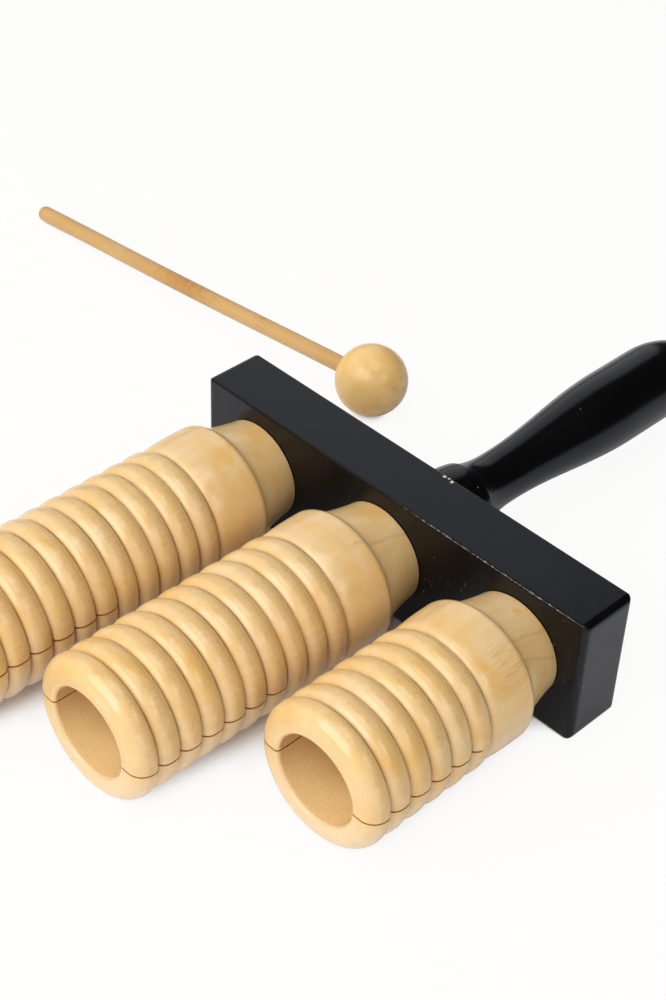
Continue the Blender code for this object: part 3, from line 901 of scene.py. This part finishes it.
# %% Wood of each tube
TUBE_GRAIN = {
    "long_tube": {
        "seed": 3.1, "pith": (-60.0, 0.0, 25.0), "coarse_spot": (20.0, -30.0, 14.0), "coarse_reach": 4.0,
        "lines": [],
        "fleck_and_shade_spots": [((4.0, -6.0, 19.3), 9.0, 0.5), ((23.3, -24.7, 10.5), 12.0, 0.3),
                   ((-4.0, -110.0, 24.0), 5.0, 0.4)]},
    "middle_tube": {
        "seed": 11.7, "pith": (35.0, 0.0, -48.0), "coarse_spot": (22.0, -22.0, 12.0), "coarse_reach": 4.0,
        "lines": [(1.016, 0.0093, 30.0)],
        "fleck_and_shade_spots": [((-2.0, -3.0, 19.0), 7.0, 0.5), ((20.6, -27.9, 15.1), 10.0, 0.3),
                   ((-15.0, -122.0, 19.5), 6.0, 0.2)]},
    "short_tube": {
        "seed": 23.9, "pith": (52.0, 0.0, 30.0), "coarse_spot": (17.5, -20.0, 17.0), "coarse_reach": 18.0,
        "lines": [(0.90, 0.0105, 18.0), (0.38, 0.022, 19.0)],
        "fleck_and_shade_spots": [((2.9, -4.5, 19.4), 2.5, 0.8), ((12.0, -8.0, 15.0), 12.0, 0.4),
                   ((14.7, -31.8, 21.0), 3.0, 0.7), ((-14.0, -90.0, 20.0), 9.0, 0.5)]},
}
for node, grain in TUBE_GRAIN.items():
    dress(tubes[node], make_tube_wood("satin_" + node, TUBES[node], **grain))

# %% [markdown]
# ## Golden wood for the mallet and bare wood for the dowels
# The mallet is a warmer wood under the same clear finish. The dowels are hidden in their glue holes and stay
# bare. Both reuse the grain group with other colours; the mallet's places are turned so that the grain runs
# down its stick.

# %% Plain wood
PLAIN_PITH = (30.0, 0.0, 22.0)
PLAIN_COARSE_SPOT = (0.0, 60.0, 0.0)
PLAIN_COARSE_REACH = 8.0


def make_plain_wood(name, mapping, seed, colours, roughness, dark_spots):
    """Grain in three colours with fine relief, and a fourth at given darker spots, which on the ball are
    painted shade, for pieces with no grooves.
    """
    material, tree, shader, spot = start_material(name, mapping)
    pale, deep, warm, dark_spot_colour = colours
    grain = add_group(tree, wood_grain, {
        "Place": spot, "Seed": seed, "Pith": PLAIN_PITH, "Pale": pale, "Deep": deep, "Warm": warm,
        "Coarse spot": PLAIN_COARSE_SPOT, "Coarse reach": PLAIN_COARSE_REACH})
    colour = blend(tree, fleck_and_shade_mask(tree, spot, seed, dark_spots), grain["Colour"], dark_spot_colour)
    rough = scaled(tree, grain["Sheen"], -0.16, roughness)
    set_surface(tree, shader, colour, rough, grain["Height"], 0.3, FIBRE_RELIEF)
    return material


# %% Wood of the mallet
GOLD = (0.93, 0.61, 0.24, 1.0)
AMBER = (0.72, 0.41, 0.14, 1.0)
OCHRE = (0.88, 0.53, 0.14, 1.0)
BALL_SHADE_BROWN = (0.40, 0.20, 0.09, 1.0)
STICK_GOLD = (0.64, 0.39, 0.15, 1.0)
STICK_BROWN = (0.46, 0.25, 0.09, 1.0)
STICK_AMBER = (0.62, 0.34, 0.09, 1.0)
STICK_PATCH_BROWN = (0.46, 0.20, 0.04, 1.0)
# painted shade: the ball turns brown towards its lower side, away from the lamps
BALL_SHADE_SPOTS = [((8.0, -9.0, -13.0), 25.0, 0.95)]
# darker brown over part of the stick's length
STICK_DARK_PATCHES = [((0.0, 105.0, 2.0), 26.0, 0.85), ((0.0, 132.0, 0.0), 14.0, 0.3)]

stick_turn = math.atan2(-stick_way[0], stick_way[1])
down_stick = {"Location": tuple(ball_centre), "Rotation": (0.0, 0.0, stick_turn)}
golden_ball = make_plain_wood(
    "golden_ball", down_stick, seed=5.3, colours=(GOLD, AMBER, OCHRE, BALL_SHADE_BROWN), roughness=0.3,
    dark_spots=BALL_SHADE_SPOTS)
dress(mallet_ball, golden_ball)
golden_stick = make_plain_wood(
    "golden_stick", down_stick, seed=17.9, colours=(STICK_GOLD, STICK_BROWN, STICK_AMBER, STICK_PATCH_BROWN),
    roughness=0.4, dark_spots=STICK_DARK_PATCHES)
dress(mallet_dowel, golden_stick)

# %% Wood of the dowels
DOWEL_PALE = (0.62, 0.44, 0.26, 1.0)
DOWEL_DEEP = (0.45, 0.29, 0.14, 1.0)

bare_dowel = make_plain_wood(
    "bare_dowel", {}, seed=29.3, colours=(DOWEL_PALE, DOWEL_DEEP, DOWEL_DEEP, DOWEL_DEEP), roughness=0.75,
    dark_spots=[])
for node in ("long_tube_dowel", "centre_dowel", "short_tube_dowel"):
    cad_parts[node].data.materials.clear()
    dress(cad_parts[node], bare_dowel)

# %% [markdown]
# ## Black lacquer
# Bar and handle wear the same thick black gloss. It is nearly black in itself, so what shows is reflection:
# the lacquer film lies in very low waves that make reflected edges wander, and it carries pale specks of
# dust. Both come from one group. On the bar the specks crowd where the short tube's foot sheds dust, a few
# chips show bare wood, and the front top edge is dotted grey along its right half, partly worn and partly a
# painted highlight of the front lamp.

# %% Lacquer group


def build_lacquer_film():
    """Low waves and a fine peel from two sizes of noise; specks near scattered points, more of them where
    the given share is high."""
    tree, given, result = new_group(
        "lacquer_film",
        {"Place": VECTOR, "Dust": VALUE},
        {"Height": VALUE, "Specks": VALUE, "Haze": VALUE})
    spot = given["Place"]
    waves = noise(tree, spot, 0.09, roughness=0.45, seed=1.0)
    height = scaled(tree, noise(tree, spot, 0.55, seed=6.0), 0.16, waves)
    scatter = place(tree, "ShaderNodeTexVoronoi", {"Vector": spot, "Scale": 0.85}, feature="F1").outputs
    chance = place(tree, "ShaderNodeSeparateColor", {0: scatter["Color"]}).outputs
    kept = number(tree, "LESS_THAN", chance["Red"], given["Dust"])
    size = scaled(tree, chance["Green"], 0.14, 0.07)
    speck = number(tree, "LESS_THAN", scatter["Distance"], size)
    specks = times(tree, kept, speck, scaled(tree, chance["Blue"], 0.8, 0.2))
    haze = noise(tree, spot, 0.16, detail=4.0, roughness=0.6, seed=4.0)
    return give(tree, result, {"Height": height, "Specks": specks, "Haze": haze})


lacquer_film = build_lacquer_film()

# %% Black lacquer
LACQUER_BLACK = (0.0024, 0.0024, 0.0024, 1.0)
LACQUER_TINT = (0.80, 0.84, 1.0, 1.0)
LACQUER_IOR = 1.37
FILM_RELIEF = 0.06 * MM
DUST_AND_GLINT_GREY = (0.42, 0.40, 0.37, 1.0)
CHIP_CREAM = (0.68, 0.62, 0.42, 1.0)
STRAY_DUST = 0.0008
DULLED = 0.5
EDGE_MARK_FADE_IN, EDGE_MARK_FADE_OUT = 25.0, 8.0


def rubbed_and_lit_edge(tree, spot, edge, start, stop):
    """Mask of an edge along X that is partly worn and partly a painted highlight: high within half a
    millimetre of the line, fading in and out at its ends, broken into dots by noise."""
    along = axes(tree, spot)["X"]
    away = distance(tree, stretched(tree, spot, (0.0, 1.0, 1.0)), edge)
    fade_in = ramp(tree, along, start, start + EDGE_MARK_FADE_IN)
    fade_out = ramp(tree, along, stop, stop - EDGE_MARK_FADE_OUT)
    dots = ramp(tree, noise(tree, spot, 1.3, detail=3.0, roughness=0.6, seed=9.0), 0.42, 0.66)
    return times(tree, ramp(tree, away, 0.52, 0.33), fade_in, fade_out, dots, 0.6)


def make_lacquer(name, roughness, dusty, chips, rubbed_and_lit):
    """Near-black gloss with a cool tint; dust round given spots, by reach and amount; chips are pale places
    near given points, ragged by noise; the given edges are dotted with the dust's grey, partly worn and
    partly a painted highlight."""
    material, tree, shader, spot = start_material(name, {})
    dust = STRAY_DUST
    for centre, reach, amount in dusty:
        dust = scaled(tree, ramp(tree, distance(tree, spot, centre), reach, 0.2 * reach), amount, dust)
    film = add_group(tree, lacquer_film, {"Place": spot, "Dust": dust})
    colour = blend(tree, film["Specks"], LACQUER_BLACK, DUST_AND_GLINT_GREY)
    rough = scaled(tree, film["Specks"], DULLED, scaled(tree, film["Haze"], 0.06, roughness))
    for line in rubbed_and_lit:
        colour = blend(tree, rubbed_and_lit_edge(tree, spot, *line), colour, DUST_AND_GLINT_GREY)
    ragged = noise(tree, spot, 1.6, detail=3.0, roughness=0.6, seed=2.0)
    for chip, size in chips:
        apart = scaled(tree, ragged, 2.4 * size, distance(tree, spot, chip))
        bare = ramp(tree, apart, 2.2 * size, 2.0 * size)
        colour = blend(tree, bare, colour, CHIP_CREAM)
        rough = scaled(tree, bare, DULLED, rough)
    set_surface(tree, shader, colour, rough, film["Height"], 1.0, FILM_RELIEF)
    shader.inputs["IOR"].default_value = LACQUER_IOR
    shader.inputs["Specular Tint"].default_value = LACQUER_TINT
    return material


# %% Lacquer of the bar and the handle
BAR_DUST = [
    ((80.0, -12.5, 30.0), 22.0, 0.45),
    ((32.0, -12.5, 28.0), 26.0, 0.16),
    ((-14.5, -10.0, 49.0), 6.0, 0.4),
]
BAR_CHIPS = [((7.4, 10.6, 50.7), 0.7), ((9.2, 10.9, 50.7), 0.45), ((11.1, 10.3, 50.7), 0.75)]
# front top edge: partly worn, partly a painted highlight of the front lamp
BAR_RUBBED_AND_LIT = [((0.0, -11.65, 50.7), 0.0, 86.0)]
BAR_ROUGHNESS = 0.18
HANDLE_ROUGHNESS = 0.17

dress(crossbar, make_lacquer("black_lacquer_bar", BAR_ROUGHNESS, BAR_DUST, BAR_CHIPS, BAR_RUBBED_AND_LIT))
dress(handle, make_lacquer("black_lacquer_handle", HANDLE_ROUGHNESS, [], [], []))

# %% [markdown]
# ## Floor, world and lamps
# The block lies on a white table under large soft lamps, in a room whose far walls are dark: that is why the
# handle shows a black band between two grey ones. The floor is lit like any white surface, but to the camera
# it is mostly plain white, so that the background is white without more light on the wood, and mirror-like
# rays see a small share of that white too. A trace of real shading stays for the shadows, and in the narrow
# gaps between tubes and bar, where little of the room is open, all of it does.

# %% White of the floor
FLOOR_WHITE = (0.92, 0.92, 0.92, 1.0)
PAINTED_BOUNCE_PEACH = (0.96, 0.87, 0.78, 1.0)
PLAIN_WHITE = (1.0, 1.0, 1.0, 1.0)
PLAIN_WHITE_SHARE = 0.93
MIRRORED_WHITE_SHARE = 0.12
GAP_REACH = 60.0 * MM
GAP_CLOSED, GAP_OPEN = 0.08, 0.28


def make_floor_white():
    """A lit white mixed with an even glow of plain white, by the kind of ray and by how open a point is; to
    the camera the lit white is tinted peach, painted warm light bounced from the wood into the shadows.
    """
    material = bpy.data.materials.new("white_floor")
    material.use_nodes = True
    tree = material.node_tree
    tree.nodes.clear()
    rays = tree.nodes.new("ShaderNodeLightPath").outputs
    seen = number(tree, "MAXIMUM", rays["Is Camera Ray"], rays["Is Transmission Ray"])
    openness = place(tree, "ShaderNodeAmbientOcclusion", {"Distance": GAP_REACH}, samples=16).outputs["AO"]
    seen_open = times(tree, seen, ramp(tree, openness, GAP_CLOSED, GAP_OPEN))
    mirrored = times(tree, rays["Is Glossy Ray"], MIRRORED_WHITE_SHARE)
    share = scaled(tree, seen_open, PLAIN_WHITE_SHARE, mirrored)
    # painted light: to the camera the floor's shadows take a warm peach tint
    lit_colour = blend(tree, seen, FLOOR_WHITE, PAINTED_BOUNCE_PEACH)
    lit = place(tree, "ShaderNodeBsdfDiffuse", {"Color": lit_colour}).outputs[0]
    plain = place(tree, "ShaderNodeEmission", {"Color": PLAIN_WHITE, "Strength": 1.0}).outputs[0]
    mixed = place(tree, "ShaderNodeMixShader", {0: share, 1: lit, 2: plain}).outputs[0]
    place(tree, "ShaderNodeOutputMaterial", {"Surface": mixed})
    return material


# %% Floor
FLOOR_REACH = 30.0

floor_mesh = bpy.data.meshes.new("floor")
floor_z = cad_box[0][2]
corners = [(x * FLOOR_REACH, y * FLOOR_REACH, floor_z) for x, y in ((-1, -1), (1, -1), (1, 1), (-1, 1))]
floor_mesh.from_pydata(corners, [], [(0, 1, 2, 3)])
floor = bpy.data.objects.new("floor", floor_mesh)
scene.collection.objects.link(floor)
dress(floor, make_floor_white())
print("floor lies at %.2f mm" % (floor_z / MM))

# %% World and lamps
ROOM_DARK = (0.035, 0.035, 0.04, 1.0)
LIT_CENTRE = Vector((0.0, -0.05, 0.025))

world = bpy.data.worlds.new("studio_room")
world.use_nodes = True
world.node_tree.nodes["Background"].inputs["Color"].default_value = ROOM_DARK
scene.world = world


def add_softbox(name, way, away, size, brightness):
    """A rectangular lamp that faces the block; its power is its brightness times its area times pi."""
    lamp_data = bpy.data.lights.new(name, "AREA")
    lamp_data.shape = "RECTANGLE"
    lamp_data.size, lamp_data.size_y = size
    lamp_data.energy = brightness * size[0] * size[1] * math.pi
    lamp = bpy.data.objects.new(name, lamp_data)
    lamp.location = LIT_CENTRE + away * Vector(way).normalized()
    lamp.rotation_euler = (LIT_CENTRE - lamp.location).to_track_quat("-Z", "Y").to_euler()
    lamp.visible_camera = False
    scene.collection.objects.link(lamp)
    print("%s: %.2f W" % (name, lamp_data.energy))


add_softbox("front_softbox", way=(-0.05, -0.73, 0.68), away=1.2, size=(1.08, 1.05), brightness=3.55)
add_softbox("top_softbox", way=(0.1, 0.08, 1.0), away=1.3, size=(0.75, 0.75), brightness=2.3)
add_softbox("left_wall", way=(-0.835, 0.073, 0.545), away=1.3, size=(3.2, 1.35), brightness=0.8)
add_softbox("right_softbox", way=(0.78, 0.16, 0.61), away=1.2, size=(0.42, 0.42), brightness=2.6)
add_softbox("front_right_wall", way=(0.65, -0.65, 0.45), away=1.3, size=(2.4, 1.1), brightness=0.62)
scene.view_settings.view_transform = "Standard"
